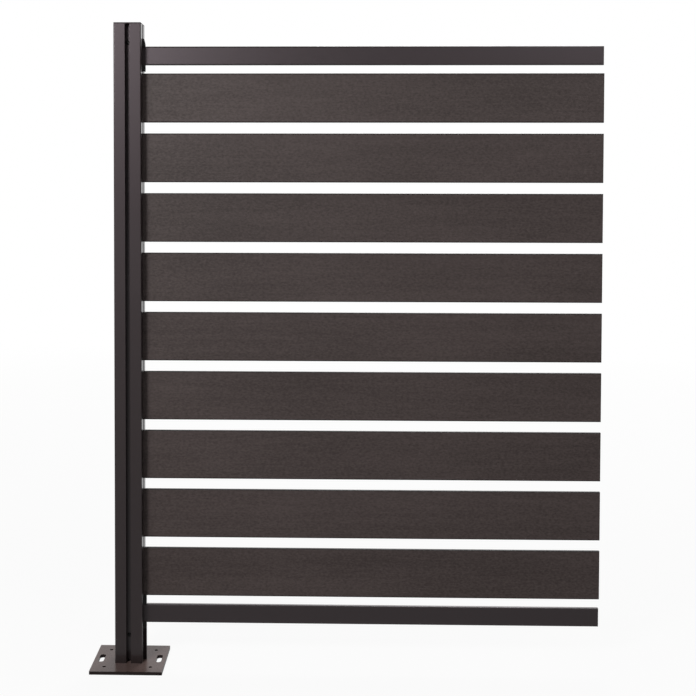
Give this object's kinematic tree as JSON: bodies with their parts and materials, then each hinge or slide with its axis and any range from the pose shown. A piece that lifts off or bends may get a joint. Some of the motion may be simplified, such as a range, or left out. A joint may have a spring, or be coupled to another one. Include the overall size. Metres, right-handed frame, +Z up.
{
  "type": "garden privacy screen",
  "caption": "Horizontal slatted garden privacy screen on one grooved post with a square foot plate; the panel's far end is free to enter a further post.",
  "frame": {"origin": "centre of the foot plate's underside, on the post's axis", "axes": "+X along the panel away from the post, +Y from the front to the back, +Z up"},
  "size_m": [1.5605, 0.222, 1.9789],
  "materials": {
    "coated_steel": "semi-gloss anthracite brown powder coat",
    "coated_post": "fine-textured semi-gloss anthracite brown powder coat",
    "coated_cap": "fine-textured dark powder coat",
    "coated_rail": "fine-textured anthracite brown powder coat",
    "coated_strip": "dark powder coat",
    "black_bracket": "matt black moulded",
    "seal_rubber": "matt black",
    "black_screw": "black coated",
    "board": "dark composite board with a fine embossed wood grain",
    "spacer_plastic": "matt black moulded"
  },
  "bodies": {
    "root": {"base_plate": "coated_steel", "base_spigot": "coated_steel", "post": "coated_post", "post_cap": "coated_cap", "top_rail": "coated_rail", "bottom_rail": "coated_rail", "top_rail_bracket": "black_bracket", "bottom_rail_bracket": "black_bracket", "support_strip": "coated_strip", "groove_seal_front": "seal_rubber", "groove_seal_back": "seal_rubber", "top_bracket_screws": "black_screw", "bottom_bracket_screws": "black_screw", "base_clamp_screws": "black_screw", "cap_clamp_screw": "black_screw", "slat_1": "board", "slat_2": "board", "slat_3": "board", "slat_4": "board", "slat_5": "board", "slat_6": "board", "slat_7": "board", "slat_8": "board", "slat_9": "board", "slat_spacer_1": "spacer_plastic", "slat_spacer_2": "spacer_plastic", "slat_spacer_3": "spacer_plastic", "slat_spacer_4": "spacer_plastic", "slat_spacer_5": "spacer_plastic", "slat_spacer_6": "spacer_plastic", "slat_spacer_7": "spacer_plastic", "slat_spacer_8": "spacer_plastic"}
  },
  "joints": []
}
